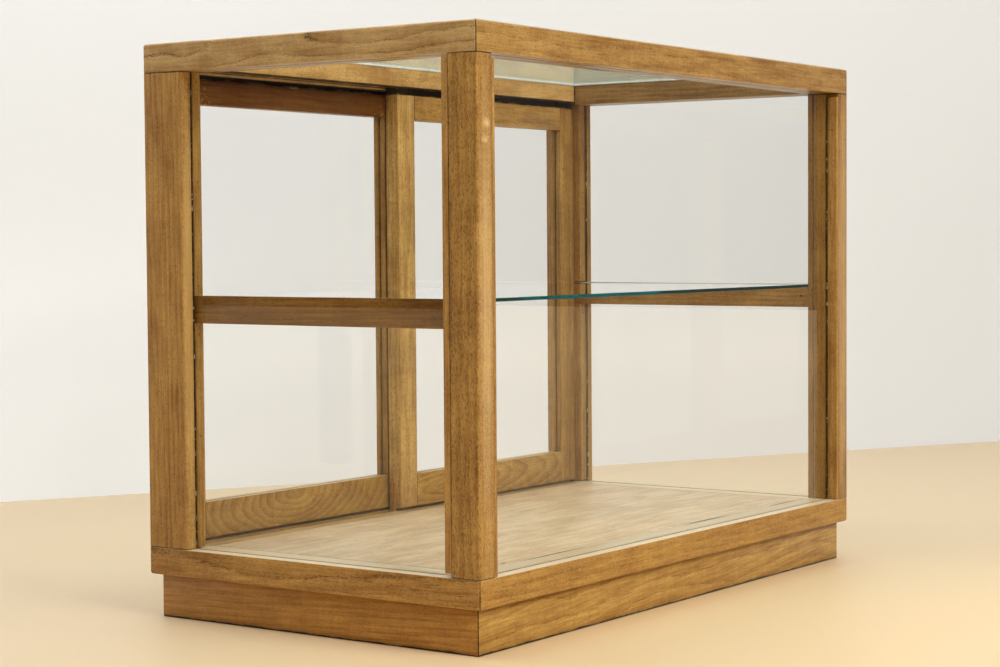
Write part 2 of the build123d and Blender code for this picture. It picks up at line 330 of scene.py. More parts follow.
timberTones = {
    "light": colour(206, 161, 91),
    "dark": colour(146, 100, 48),
    "line": colour(76, 46, 20),
    "pore": colour(84, 54, 25),
    "speck": colour(236, 212, 172),
    # the rubbed tone also paints highlight on edges, the corner tone is painted shade, and the pale top
    # tone painted top light
    "rubbed": colour(206, 152, 92),
    "faded": colour(250, 224, 182),
    "dirt": colour(34, 20, 9),
    "seam": colour(16, 10, 6),
    "depth": 0.36, "ring": 0.3, "lines": 0.5, "pores": 0.42, "dashes": 0.0, "fibre": 0.42, "patch": 0.42,
    "flame": 0.12, "specks": 0.0, "spacing": 5 * mm, "wander": 8 * mm, "wave": 5, "heart": (90 * mm, 0),
    "turn": (0, 0, 0), "tint": (1, 1, 1), "roughness": 0.32, "shine": 0.32, "bump": 0.2, "edgeWearAndHighlight": 0.3,
    "corners": 0.3, "fade": 0.3, "seed": 0, "seams": [], "marks": [],
}
timberShading = {
    "wearWidth": 1.2 * mm, "cornerReach": 10 * mm, "swing": (0.32, 0.68), "lateWood": 1.5,
    "upward": (0.5, 0.95), "fibreEnds": (0.2, 0.8), "smoother": 0.06, "rougher": 0.12,
    "fibreHeight": 0.5, "lineDepth": 0.6,
}

grainTurns = {"x": (0, 0, 0), "y": (0, 0, -90), "z": (0, 90, 0)}


def makeTimber(node, board):
    settings = {**timberTones, **timberShading, **board}
    material, tree, surface = newMaterial(f"timber_{node}")

    # the pattern's first axis is laid along the grain, with the heart beside the board
    low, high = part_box(node)
    turn = Euler([math.radians(a + b) for a, b in zip(grainTurns[settings["grain"]], settings["turn"])])
    distance, bearing = settings["heart"]
    angle = math.radians(bearing)
    beside = Vector((0, distance * math.cos(angle), distance * math.sin(angle)))
    heart = turn.to_matrix() @ ((low + high) / 2) + beside
    ownPlace = addNode(tree, "ShaderNodeTexCoord").outputs["Object"]
    grainPlace = addNode(tree, "ShaderNodeMapping")
    feed(tree, grainPlace.inputs["Vector"], ownPlace)
    grainPlace.inputs["Rotation"].default_value = turn
    grainPlace.inputs["Location"].default_value = (settings["seed"], -heart.y, -heart.z)

    figure = useGroup(tree, timberFigure, Vector=grainPlace.outputs[0], Spacing=settings["spacing"],
                      Wander=settings["wander"], Wave=settings["wave"], Seed=settings["seed"])
    edgesAndShade = useGroup(tree, edgeWearHighlightAndCornerShade, Vector=grainPlace.outputs[0], Width=settings["wearWidth"],
                    Reach=settings["cornerReach"])

    def swing(label):
        # lighter and darker by turns, as strong as the board's own share
        half = settings[label.lower()] / 2
        return ramped(tree, figure[label], *settings["swing"], -half, half)

    def over(tone, mask, strength, laid):
        return mixed(tree, times(tree, mask, strength), tone, laid)

    lateWood = mathOf(tree, "POWER", figure["Ring"], settings["lateWood"])
    darker = mathOf(tree, "MULTIPLY_ADD", lateWood, settings["ring"], settings["depth"])
    for label in ("Fibre", "Patch", "Flame"):
        darker = mathOf(tree, "ADD", darker, swing(label))
    tone = mixed(tree, darker, settings["light"], settings["dark"])
    # the grain's dark lines, pores and dashes, and pale specks that are painted glints
    for label, share, laid in (("Line", "lines", "line"), ("Pores", "pores", "pore"),
                               ("Dashes", "dashes", "line"), ("Speck", "specks", "speck")):
        if settings[share]:
            tone = over(tone, figure[label], settings[share], settings[laid])
    # rubbed edges are lighter, with a painted highlight along the arrises
    tone = over(tone, edgesAndShade["Edge"], settings["edgeWearAndHighlight"], settings["rubbed"])
    tone = mixed(tree, 1.0, tone, (*settings["tint"], 1), "MULTIPLY")

    # faces that look up are painted lighter: painted top light
    flat = addNode(tree, "ShaderNodeNewGeometry").outputs["True Normal"]
    upward = vectorMath(tree, "DOT_PRODUCT", flat, (0, 0, 1))
    topLit = ramped(tree, upward, *settings["upward"], 0.0, settings["fade"])
    tone = mixed(tree, topLit, tone, settings["faded"])
    # painted shade in corners and under overhangs
    tone = over(tone, edgesAndShade["Corner"], settings["corners"], settings["dirt"])
    for stain in settings["marks"]:
        mask = useGroup(tree, woodMark, Vector=ownPlace, **stain["form"])[0]
        tone = over(tone, mask, stain["strength"], stain["tone"])
    for seam in settings["seams"]:
        line = useGroup(tree, seamAndShadeLine, Vector=ownPlace, **seam["form"])[0]
        tone = over(tone, line, seam["strength"], settings["seam"])
    feed(tree, surface.inputs["Base Color"], tone)
    smooth = settings["roughness"] - settings["smoother"]
    rough = settings["roughness"] + settings["rougher"]
    roughness = ramped(tree, figure["Fibre"], *settings["fibreEnds"], smooth, rough)
    feed(tree, surface.inputs["Roughness"], roughness)
    surface.inputs["Specular IOR Level"].default_value = settings["shine"]

    sunk = mathOf(tree, "ADD", figure["Pores"], times(tree, figure["Line"], settings["lineDepth"]))
    relief = mathOf(tree, "SUBTRACT", times(tree, figure["Fibre"], settings["fibreHeight"]), sunk)
    roughen(tree, surface, relief, settings["bump"])
    return material


# Glass: it casts hardly any shadow, and its cut edges are deep green

def makeGlass(name, settings):
    material, tree, surface = newMaterial(name)
    flat = addNode(tree, "ShaderNodeNewGeometry").outputs["True Normal"]
    facing = mathOf(tree, "ABSOLUTE", vectorMath(tree, "DOT_PRODUCT", flat, settings["faceNormal"]))
    edge = ramped(tree, facing, *settings["edgeFacing"], 1.0, 0.0)
    feed(tree, surface.inputs["Base Color"], mixed(tree, edge, settings["body"], settings["edge"]))
    # the cut edges also glow faintly: painted light
    feed(tree, surface.inputs["Emission Color"], mixed(tree, edge, (0, 0, 0, 1), settings["edge"]))
    surface.inputs["Emission Strength"].default_value = settings["glow"]
    surface.inputs["Roughness"].default_value = 0
    surface.inputs["IOR"].default_value = settings["bending"]
    surface.inputs["Specular IOR Level"].default_value = settings["shine"]
    surface.inputs["Transmission Weight"].default_value = 1
    seen = surface.outputs[0]
    if settings["dust"]:
        # a film of dust that only shows along the sheet
        weight = addNode(tree, "ShaderNodeLayerWeight")
        film = ramped(tree, weight.outputs["Facing"], *settings["filmFacing"], 0.0, settings["dust"])
        grime = addNode(tree, "ShaderNodeBsdfTranslucent")
        grime.inputs[0].default_value = settings["grime"]
        seen = mixedShaders(tree, film, seen, grime.outputs[0])
    clear = addNode(tree, "ShaderNodeBsdfTransparent")
    clear.inputs[0].default_value = settings["shadow"]
    rays = addNode(tree, "ShaderNodeLightPath").outputs
    unseen = mathOf(tree, "MAXIMUM", rays["Is Shadow Ray"], rays["Is Diffuse Ray"])
    result = mixedShaders(tree, unseen, seen, clear.outputs[0])
    feed(tree, tree.nodes["Material Output"].inputs["Surface"], result)
    return material


# Pieces

def deselectAll():
    if bpy.context.object and bpy.context.object.mode != "OBJECT":
        bpy.ops.object.mode_set(mode="OBJECT")
    bpy.ops.object.select_all(action="DESELECT")


def activate(piece):
    deselectAll()
    piece.select_set(True)
    bpy.context.view_layer.objects.active = piece


def editAll():
    bpy.ops.object.mode_set(mode="EDIT")
    bpy.ops.mesh.select_all(action="SELECT")


def dress(piece, material):
    piece.data.materials.clear()
    piece.data.materials.append(material)


def ease(piece, width, segments, sharp=30):
    # round the edges that turn by more than an angle
    eased = piece.modifiers.new("eased", "BEVEL")
    eased.width = width
    eased.segments = segments
    eased.limit_method = "ANGLE"
    eased.angle_limit = math.radians(sharp)
    eased.use_clamp_overlap = True
    bpy.ops.object.modifier_apply(modifier="eased")


def shadeSmooth(angle=30):
    bpy.ops.object.shade_smooth_by_angle(angle=math.radians(angle))


def pieceName(node):
    first, *rest = node.split("_")
    return first + "".join(word.capitalize() for word in rest)


def softened(node, width, segments=2):
    # a copy of the frame's piece with its sharp edges eased, which stands for it
    settings = {"weld": 0.00001, "flat": 1, "sharp": 35}
    source = frame["nodes"][node]
    piece = bpy.data.objects.new(pieceName(node), source.data.copy())
    bpy.context.scene.collection.objects.link(piece)
    activate(piece)
    bpy.ops.mesh.customdata_custom_splitnormals_clear()
    editAll()
    bpy.ops.mesh.remove_doubles(threshold=settings["weld"])
    bpy.ops.mesh.dissolve_limited(angle_limit=math.radians(settings["flat"]))
    bpy.ops.object.mode_set(mode="OBJECT")
    ease(piece, width, segments, settings["sharp"])
    shadeSmooth()
    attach(piece, bodyOfNode[node])
    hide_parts(node)
    return piece


def makeBoards(boards, width, segments=2):
    for node, board in boards.items():
        dress(softened(node, width, segments), makeTimber(node, board))


# Marks, joint lines and lines of painted shade on a board, with places and sizes in millimetres.
# A mitre's line runs from the outer to the inner corner of a frame.

def mark(centre, size, tone, softness=0.4, strength=0.8):
    form = {"Centre": [part * mm for part in centre], "Size": [part * mm for part in size],
            "Softness": softness}
    return {"form": form, "tone": tone, "strength": strength}


def seamAndShadeOn(normal, offset, width, gaps=0.0, strength=0.92):
    form = {"Normal": normal, "Offset": offset * mm, "Width": width * mm, "Gaps": gaps}
    return {"form": form, "strength": strength}


def mitreSeam(outer, inner):
    run = (Vector(inner) - Vector(outer)).normalized()
    normal = Vector((-run.y, run.x, 0))
    return seamAndShadeOn(normal, normal.dot(Vector((*outer, 0))), width=0.6)


def flatSeamAndShade(axis, place, width, gaps=0.0, strength=0.92):
    return seamAndShadeOn([float(axis == name) for name in "xyz"], place, width, gaps, strength)


frontLeft = mitreSeam((-318, -180), (-284, -146))
frontRight = mitreSeam((318, -180), (284, -146))
backLeft = mitreSeam((-318, 180), (-284, 134))
backRight = mitreSeam((318, 180), (284, 134))
plinthBackLeft = mitreSeam((-310, 172), (-292, 154))
plinthBackRight = mitreSeam((310, 172), (292, 154))
postEnds = [flatSeamAndShade("z", 475, 1.0), flatSeamAndShade("z", 62, 0.9)]

# the underside over the door tracks is painted dark: painted shade
paintedTrackShade = [flatSeamAndShade("z", height, 0.7, strength=0.85) for height in (475, 478)]

topRails = {
    "top_rail_left": {
        "grain": "y", "heart": (34 * mm, 20), "turn": (1.2, 0, 0), "spacing": 9 * mm, "wander": 44 * mm,
        "wave": 5.5, "lines": 0.85, "ring": 0.4, "fibre": 0.3, "pores": 0.3, "tint": (1.22, 1.48, 2.35),
        "seed": 3, "seams": [frontLeft, backLeft]},
    "top_rail_front": {
        "grain": "x", "heart": (100 * mm, 30), "spacing": 5 * mm, "wander": 22 * mm, "wave": 7,
        "lines": 0.3, "patch": 0.5, "tint": (0.91, 0.96, 1.08), "seed": 7,
        "seams": [frontLeft, frontRight]},
    "top_rail_right": {
        "grain": "y", "heart": (90 * mm, 60), "wander": 20 * mm, "tint": (0.79, 0.83, 0.98), "seed": 11,
        "seams": [frontRight, backRight]},
    "top_rail_back": {
        "grain": "x", "heart": (70 * mm, 0), "turn": (0, 2.5, 0), "spacing": 12 * mm, "wander": 40 * mm,
        "lines": 0.2, "fibre": 0.25, "tint": (1.34, 1.46, 1.95), "seed": 13,
        "seams": [backLeft, backRight] + paintedTrackShade},
}
makeBoards(topRails, 1.5 * mm, 3)

# the base rails' tops carry painted top light outside the glass, the left and front ones a painted
# highlight along the outer arris too, and are toned like the floor board inside it
baseRails = {
    "base_rail_left": {
        "grain": "y", "heart": (80 * mm, 20), "turn": (2, 0, 0), "spacing": 7 * mm, "wander": 24 * mm,
        "lines": 0.75, "dashes": 0.85, "pores": 0.45, "tint": (1, 0.98, 0.92), "fade": 1.0,
        "faded": colour(255, 229, 190), "edgeWearAndHighlight": 0.9, "rubbed": colour(255, 212, 166), "seed": 17,
        "seams": [frontLeft, backLeft],
        "marks": [mark((-293.4, -6, 62), (10.2, 460, 2), colour(208, 178, 132), 0.15, 0.4)]},
    "base_rail_front": {
        "grain": "x", "heart": (120 * mm, 50), "spacing": 6 * mm, "wander": 14 * mm, "lines": 0.3,
        "specks": 0.6, "tint": (0.97, 0.94, 0.76), "fade": 0.93, "faded": colour(255, 230, 192),
        "edgeWearAndHighlight": 0.8, "rubbed": colour(255, 206, 158), "seed": 19, "seams": [frontLeft, frontRight],
        "marks": [mark((0, -155.6, 62), (900, 10.6, 2), colour(206, 176, 130), 0.15, 0.62)]},
    "base_rail_right": {
        "grain": "y", "heart": (90 * mm, 40), "fade": 0.9, "seed": 23, "seams": [frontRight, backRight],
        "marks": [mark((312, -148, 62), (6, 5, 1), colour(84, 52, 26))]},
    "base_rail_back": {
        "grain": "x", "heart": (90 * mm, 10), "spacing": 6 * mm, "fade": 0.25, "seed": 29,
        "seams": [backLeft, backRight]},
}
makeBoards(baseRails, 1.0 * mm, 3)

# long pale marks down the front faces of the front posts, and down the back left post's jamb, are painted
# light; two small pale spots sit high on the front left post
posts = {
    "post_front_left": {
        "grain": "z", "heart": (140 * mm, 60), "spacing": 5 * mm, "lines": 0.25, "pores": 0.6,
        "flame": 0.2, "specks": 0.8, "tint": (0.94, 0.94, 0.87), "seed": 31,
        "seams": postEnds + [flatSeamAndShade("y", -151.6, 1.2, 0.2), flatSeamAndShade("x", -297.7, 0.8, 0.4)],
        "marks": [mark((-306.5, -180, 275), (12, 5, 240), colour(250, 220, 164), 0.9, 0.34),
                  mark((-305, -180, 420), (6, 3, 5), colour(255, 226, 170), 0.9, 0.5),
                  mark((-307, -180, 407), (6, 3, 4), colour(255, 226, 170), 0.9, 0.4)]},
    "post_front_right": {
        "grain": "z", "heart": (120 * mm, 20), "lines": 0.3, "specks": 0.5, "tint": (0.74, 0.71, 0.66),
        "seed": 37, "seams": postEnds + [flatSeamAndShade("y", -151.6, 0.6, 0.3)],
        "marks": [mark((308, -180, 268), (14, 4, 260), colour(250, 218, 166), 0.6, 0.26)]},
    "post_back_left": {
        "grain": "z", "heart": (160 * mm, 0), "turn": (0.8, 0, 0), "spacing": 6 * mm, "lines": 0.3,
        "fibre": 0.5, "specks": 0.5, "seed": 41, "seams": postEnds,
        "marks": [mark((-312.5, 134, 275), (8, 3, 260), colour(250, 206, 134), 0.6, 0.4)]},
    "post_back_right": {"grain": "z", "heart": (120 * mm, 30), "seed": 43, "seams": postEnds},
}
beadNodes = ("end_bead_left", "end_bead_right", "front_bead_left", "front_bead_right",
             "upper_strip_left", "upper_strip_right", "lower_strip_left", "lower_strip_right")
beads = {
    node: {"grain": "z", "heart": (150 * mm, 20 * index), "spacing": 4 * mm, "lines": 0.3,
           "seed": 50 + 2 * index}
    for index, node in enumerate(beadNodes)
}
shelfRails = {
    # its dark tint is painted shade: it stands behind the end glass, in the shade of the posts and top
    # frame
    "shelf_rail_left": {
        "grain": "y", "heart": (130 * mm, 70), "turn": (1, 0, 0), "lines": 0.5,
        "tint": (0.67, 0.54, 0.32), "seed": 71},
    "shelf_rail_right": {
        "grain": "y", "heart": (130 * mm, 70), "lines": 0.3, "tint": (0.96, 0.95, 1.0), "seed": 73,
        "marks": [mark((294, -137.5, 269.5), (3, 2, 1.5), colour(64, 38, 18)),
                  mark((301, 0, 282), (8, 900, 2.6), colour(242, 240, 232), 0.1, 1.0)]},
}

# painted shade in corners is off for these, because a pane beside them would count as a corner
for boards, width, segments in ((posts, 1.0 * mm, 3), (beads, 0.35 * mm, 2), (shelfRails, 0.4 * mm, 2)):
    for board in boards.values():
        board["corners"] = 0.0
    makeBoards(boards, width, segments)

plinths = {
    "plinth_left": {
        "grain": "y", "heart": (110 * mm, 50), "turn": (2.5, 0, 0), "lines": 0.3, "pores": 0.3,
        "patch": 0.25, "tint": (1.06, 0.96, 0.75), "seed": 79, "seams": [frontLeft, plinthBackLeft],
        "marks": [mark((-310, -168, 42), (3, 9, 6), colour(168, 84, 32), 0.8, 0.5)]},
    "plinth_front": {
        "grain": "x", "heart": (60 * mm, 80), "turn": (0, 3, 0), "spacing": 15 * mm, "wander": 50 * mm,
        "wave": 6, "ring": 0.36, "pores": 0.3, "lines": 0.3, "fibre": 0.5, "patch": 0.3,
        "tint": (1.08, 1.15, 1.08), "seed": 83, "seams": [frontLeft, frontRight]},
    "plinth_right": {
        "grain": "y", "heart": (110 * mm, 50), "spacing": 6 * mm, "seed": 89,
        "seams": [frontRight, plinthBackRight]},
    "plinth_back": {
        "grain": "x", "heart": (80 * mm, 60), "spacing": 7 * mm, "seed": 97,
        "seams": [plinthBackLeft, plinthBackRight]},
    "plinth_corner_blocks": {"grain": "z", "heart": (60 * mm, 30), "seed": 101, "seams": []},
}

# painted shade under the overhang, and a painted contact shadow along the foot
for board in plinths.values():
    board["seams"].append(flatSeamAndShade("z", 0, 1.8))
    board["corners"] = 0.6
makeBoards(plinths, 0.6 * mm)

# the doors' tongues are painted dark in the gap over the rails: painted shade in the gap, and dirt on the
# bare wood
doorTongueShadeAndDirt = [flatSeamAndShade("z", 475.5, 4.1, strength=0.96)]
doorSides = {"inner_door": (15.3, 267.7), "outer_door": (-267.7, -10.7)}
doorGrains = {"left_stile": "z", "right_stile": "z", "top_rail": "x", "bottom_rail": "x"}

doorBars = {}
for index, (door, sides) in enumerate(doorSides.items()):
    for part, grain in doorGrains.items():
        joints = [flatSeamAndShade("x", side, 0.5) for side in sides] if grain == "x" else []
        doorBars[f"{door}_{part}"] = {
            "grain": grain, "heart": (70 * mm, 25 * index + 20), "spacing": 6 * mm, "wander": 18 * mm,
            "lines": 0.35, "seam": colour(44, 22, 10), "seed": 110 + 13 * len(doorBars),
            "seams": joints + doorTongueShadeAndDirt}
doorBars["inner_door_left_stile"]["tint"] = (1.38, 1.52, 1.85)
doorBars["inner_door_right_stile"]["marks"] = [
    mark(centre, (1.3, 1.3, 1.3), colour(40, 20, 12), 0.3)
    for centre in ((273.3, 142, 405.3), (274.3, 142, 128.9))]
doorBars["outer_door_bottom_rail"].update({
    "heart": (20 * mm, 124), "turn": (0, 4, 24), "spacing": 5 * mm, "wave": 14, "wander": 16 * mm,
    "ring": 0.45, "fibre": 0.2, "tint": (1.06, 1.06, 0.98)})
doorBars["inner_door_bottom_rail"].update({
    "heart": (20 * mm, 162), "turn": (0, 2, 10), "spacing": 4.5 * mm, "wave": 10, "wander": 10 * mm,
    "ring": 0.5, "fibre": 0.3, "tint": (1.14, 1.15, 0.95)})
# a long dark mark on its front face is painted shadow cast by the top frame
doorBars["outer_door_top_rail"].update({
    "tint": (0.86, 0.8, 0.75), "shine": 0.15, "fibre": 0.6,
    "marks": [mark((-139, 157, 462), (150, 8, 30), colour(84, 38, 14), 0.1, 0.74),
              mark((-143, 159, 470.5), (9, 1, 0.5), colour(210, 190, 160), 0.4, 0.5)]})
makeBoards(doorBars, 0.5 * mm)

# the floor board's front joint is cracked open in three places, with worn spots beside it
floorBoard = {
    "grain": "x", "heart": (60 * mm, 80), "spacing": 12 * mm, "wander": 60 * mm, "wave": 4, "lines": 0.12,
    "light": colour(251, 221, 181), "dark": colour(213, 177, 136), "line": colour(146, 108, 73),
    "pore": colour(120, 94, 62), "pores": 0.25, "fibre": 0.3, "patch": 0.62, "fade": 0.0, "seed": 5,
    "roughness": 0.42,
    "seams": [flatSeamAndShade("x", -284, 0.9), flatSeamAndShade("x", 284, 0.6, 0.7), flatSeamAndShade("y", 134, 0.6),
              flatSeamAndShade("y", -146, 0.5, strength=0.4)],
    "marks": [mark((-168, -145.4, 62), (50, 2.4, 1), colour(36, 28, 20), 0.6),
              mark((90, -145.4, 62), (46, 3.4, 1), colour(24, 18, 12), 0.5, 0.95),
              mark((240, -145.4, 62), (36, 3.0, 1), colour(36, 28, 20), 0.6),
              mark((-232, -139, 62), (4, 1.6, 1), colour(70, 56, 44)),
              mark((5, -139, 62), (9, 2.2, 1), colour(250, 240, 220), 0.4, 0.6),
              mark((27, -143, 62), (6, 1.6, 1), colour(250, 240, 220), 0.4, 0.6),
              mark((-90, 40, 62), (90, 26, 1), colour(176, 150, 122), 0.9, 0.16),
              mark((60, -30, 62), (120, 20, 1), colour(180, 154, 126), 0.9, 0.16)],
}
makeBoards({"floor_panel": floorBoard}, 0.4 * mm)
print("timber pieces made")

paneGlass = {
    "body": colour(254, 255, 255), "edge": colour(20, 120, 108), "shadow": colour(246, 249, 247),
    "glow": 0.1, "bending": 1.38, "shine": 0.12, "edgeFacing": (0.5, 0.9), "dust": 0.0,
    "easing": 0.3 * mm,
}
panes = {
    "front_glass": {"faceNormal": (0, 1, 0)},
    "left_end_glass": {"faceNormal": (1, 0, 0)},
    "right_end_glass": {"faceNormal": (1, 0, 0)},
    "top_glass": {"faceNormal": (0, 0, 1), "dust": 0.45, "grime": colour(160, 174, 146),
                  "filmFacing": (0.8, 0.98)},
    "inner_door_glass": {"faceNormal": (0, 1, 0)},
    "outer_door_glass": {"faceNormal": (0, 1, 0)},
    "glass_shelf": {"faceNormal": (0, 0, 1), "edge": colour(0, 93, 91), "glow": 0.13, "easing": 0.1 * mm},
}
for node, own in panes.items():
    pane = {**paneGlass, **own}
    dress(softened(node, pane["easing"], segments=1), makeGlass(f"glass_{node}", pane))
print("glass made")


# Old putty: a pale bedding line round the top glass, and dark lines with pale flecks where panes meet
# posts: the dark is painted shade in the gap, the flecks old putty

def makePutty(name, first, second, fleckStart):
    settings = {"flecks": {"scale": (170, 170), "seed": 4.0, "detail": 2.0, "roughness": 0.7},
                "fleckRim": 0.08, "grit": {"scale": (900, 900), "seed": 1.0, "detail": 2.0},
                "roughness": 0.6, "bump": 0.4}
    material, tree, surface = newMaterial(name)
    ownPlace = addNode(tree, "ShaderNodeTexCoord").outputs["Object"]
    uneven = grainNoise(tree, ownPlace, **settings["flecks"])
    flecks = ramped(tree, uneven, fleckStart, fleckStart + settings["fleckRim"])
    feed(tree, surface.inputs["Base Color"], mixed(tree, flecks, first, second))
    surface.inputs["Roughness"].default_value = settings["roughness"]
    roughen(tree, surface, grainNoise(tree, ownPlace, **settings["grit"]), settings["bump"])
    return material


def copyOf(first, name, place, turn=None):
    # moved inside its own mesh, so that the piece itself stays at the origin
    piece = bpy.data.objects.new(name, first.data.copy())
    bpy.context.scene.collection.objects.link(piece)
    activate(piece)
    editAll()
    if turn:
        axis, degrees = turn
        bpy.ops.transform.rotate(value=math.radians(degrees), orient_axis=axis, center_override=(0, 0, 0))
    bpy.ops.transform.translate(value=[part * mm for part in place])
    bpy.ops.object.mode_set(mode="OBJECT")
    return piece


def makeBedding():
    # a thin fillet under the top glass, round the opening
    settings = {"width": 568.4, "depth": 280.4, "middle": -6, "top": 497.0, "reach": 1.1, "height": 1.4,
                "easing": 0.35}
    deselectAll()
    bpy.ops.mesh.primitive_plane_add(size=1)
    piece = bpy.context.object
    piece.name = "topGlassBedding"
    editAll()
    bpy.ops.transform.resize(value=(settings["width"] * mm, settings["depth"] * mm, 1))
    bpy.ops.transform.translate(value=(0, settings["middle"] * mm, settings["top"] * mm))
    bpy.ops.mesh.inset(thickness=settings["reach"] * mm)
    bpy.ops.mesh.delete(type="FACE")
    bpy.ops.mesh.select_all(action="SELECT")
    bpy.ops.mesh.extrude_region_move(TRANSFORM_OT_translate={"value": (0, 0, -settings["height"] * mm)})
    bpy.ops.mesh.select_all(action="SELECT")
    bpy.ops.mesh.normals_make_consistent(inside=False)
    bpy.ops.object.mode_set(mode="OBJECT")
    ease(piece, settings["easing"] * mm, segments=2)
    dress(piece, makePutty("bedding", colour(226, 232, 232), colour(190, 202, 204), 0.6))
    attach(piece, "case")


def makePuttyAndShadeLines():
    # one uneven strip is modelled, then copied to each pane's upright joint
    settings = {"foot": 66, "length": 407, "thick": 0.9, "cuts": 60, "wobble": 0.25, "wobbleSeed": 7,
                "easing": 0.12}
    places = {"puttyAndShadeLeftPane": (-307.2, 133.6, 0), "puttyAndShadeRightPane": (307.2, 133.6, 0),
              "puttyAndShadeFrontLeft": (-293.6, -169.3, 0), "puttyAndShadeFrontRight": (293.6, -169.3, 0)}
    deselectAll()
    bpy.ops.mesh.primitive_cube_add(size=1)
    first = bpy.context.object
    editAll()
    thick = settings["thick"] * mm
    bpy.ops.transform.resize(value=(thick, thick, settings["length"] * mm))
    bpy.ops.transform.translate(value=(0, 0, (settings["foot"] + settings["length"] / 2) * mm))
    step = settings["length"] / settings["cuts"] * mm
    for cut in range(1, settings["cuts"]):
        bpy.ops.mesh.select_all(action="SELECT")
        bpy.ops.mesh.bisect(plane_co=(0, 0, settings["foot"] * mm + cut * step), plane_no=(0, 0, 1))
    bpy.ops.mesh.select_all(action="SELECT")
    bpy.ops.transform.vertex_random(offset=settings["wobble"] * mm, seed=settings["wobbleSeed"])
    bpy.ops.object.mode_set(mode="OBJECT")
    ease(first, settings["easing"] * mm, segments=1)
    material = makePutty("puttyAndGapShade", colour(36, 26, 18), colour(190, 184, 172), 0.58)
    for name, place in places.items():
        piece = copyOf(first, name, place)
        dress(piece, material)
        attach(piece, "case")
    bpy.data.objects.remove(first)


makeBedding()
makePuttyAndShadeLines()
print("putty made")


# Brads that hold the beads and strips: one is modelled, and each copy has its own mesh

def makeBrads():
    settings = {"radius": 0.7, "depth": 0.5, "proud": 0.12, "sides": 16, "rim": 0.18, "metallic": 0.6,
                "endBead": (312.5, -145.4), "frontBead": (294, -174.5), "strip": (298.7, 134),
                "beadHeights": (100, 212, 325, 438), "stripHeights": (74, 160, 248, 290, 380, 466)}
    deselectAll()
    bpy.ops.mesh.primitive_cylinder_add(vertices=settings["sides"], radius=settings["radius"] * mm,
                                        depth=settings["depth"] * mm)
    first = bpy.context.object
    editAll()
    bpy.ops.transform.translate(value=(0, 0, (settings["proud"] - settings["depth"] / 2) * mm))
    bpy.ops.object.mode_set(mode="OBJECT")
    ease(first, settings["rim"] * mm, segments=2)
    material = makePutty("bradHead", colour(60, 44, 30), colour(126, 104, 80), 0.55)
    material.node_tree.nodes["Principled BSDF"].inputs["Metallic"].default_value = settings["metallic"]

    # each head's place, and the turn that makes it look out of its bead or strip
    heads = []

    def addHead(spot, side, height, turn):
        x, y = settings[spot]
        heads.append(((side * x, y, height), turn))

    for side in (-1, 1):
        for height in settings["beadHeights"]:
            addHead("endBead", side, height, ("X", 90))
            addHead("frontBead", side, height, ("Y", -90 * side))
        for height in settings["stripHeights"]:
            addHead("strip", side, height, ("X", -90))
    for index, (place, turn) in enumerate(heads):
        piece = copyOf(first, f"brad{index + 1:02d}", place, turn)
        shadeSmooth()
        dress(piece, material)
        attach(piece, "case")
    bpy.data.objects.remove(first)


makeBrads()
print("brads made")


# Stage: a plain pale floor and wall, soft light, and the camera at the photograph's angle

def addPlane(name, size, place=(0, 0, 0), rotation=(0, 0, 0)):
    deselectAll()
    bpy.ops.mesh.primitive_plane_add(size=size, location=place, rotation=rotation)
    plane = bpy.context.object
    plane.name = name
    return plane


def setOnStage(plane, material):
    dress(plane, material)


def paleMaterial(name, tone, glow, roughness=0.5, shine=0.3):
    material, tree, surface = newMaterial(name)
    surface.inputs["Base Color"].default_value = tone
    surface.inputs["Emission Color"].default_value = glow
    surface.inputs["Roughness"].default_value = roughness
    surface.inputs["Specular IOR Level"].default_value = shine
    ownPlace = addNode(tree, "ShaderNodeTexCoord").outputs["Object"]
    return material, tree, surface, ownPlace


def makeFloor():
    settings = {"size": 14, "tone": colour(226, 204, 168), "warm": colour(252, 222, 174),
                "warmSpot": (-0.15, -0.45, 0), "warmReach": (0.2, 0.8), "farReach": (1.3, 4.5),
                "farGlow": 0.7}
    plane = addPlane("stageFloor", settings["size"])
    material, tree, surface, ownPlace = paleMaterial("stageFloor", settings["tone"], settings["tone"])

    # a pool of painted light: the table is warmer and brighter in front of the case
    away = vectorMath(tree, "LENGTH", vectorMath(tree, "SUBTRACT", ownPlace, settings["warmSpot"]))
    near = ramped(tree, away, *settings["warmReach"], 1.0, 0.0)
    feed(tree, surface.inputs["Base Color"], mixed(tree, near, settings["tone"], settings["warm"]))

    # far from the lamps the table is kept pale
    reach = vectorMath(tree, "LENGTH", ownPlace)
    glow = ramped(tree, reach, *settings["farReach"], 0.0, settings["farGlow"])
    feed(tree, surface.inputs["Emission Strength"], glow)
    setOnStage(plane, material)


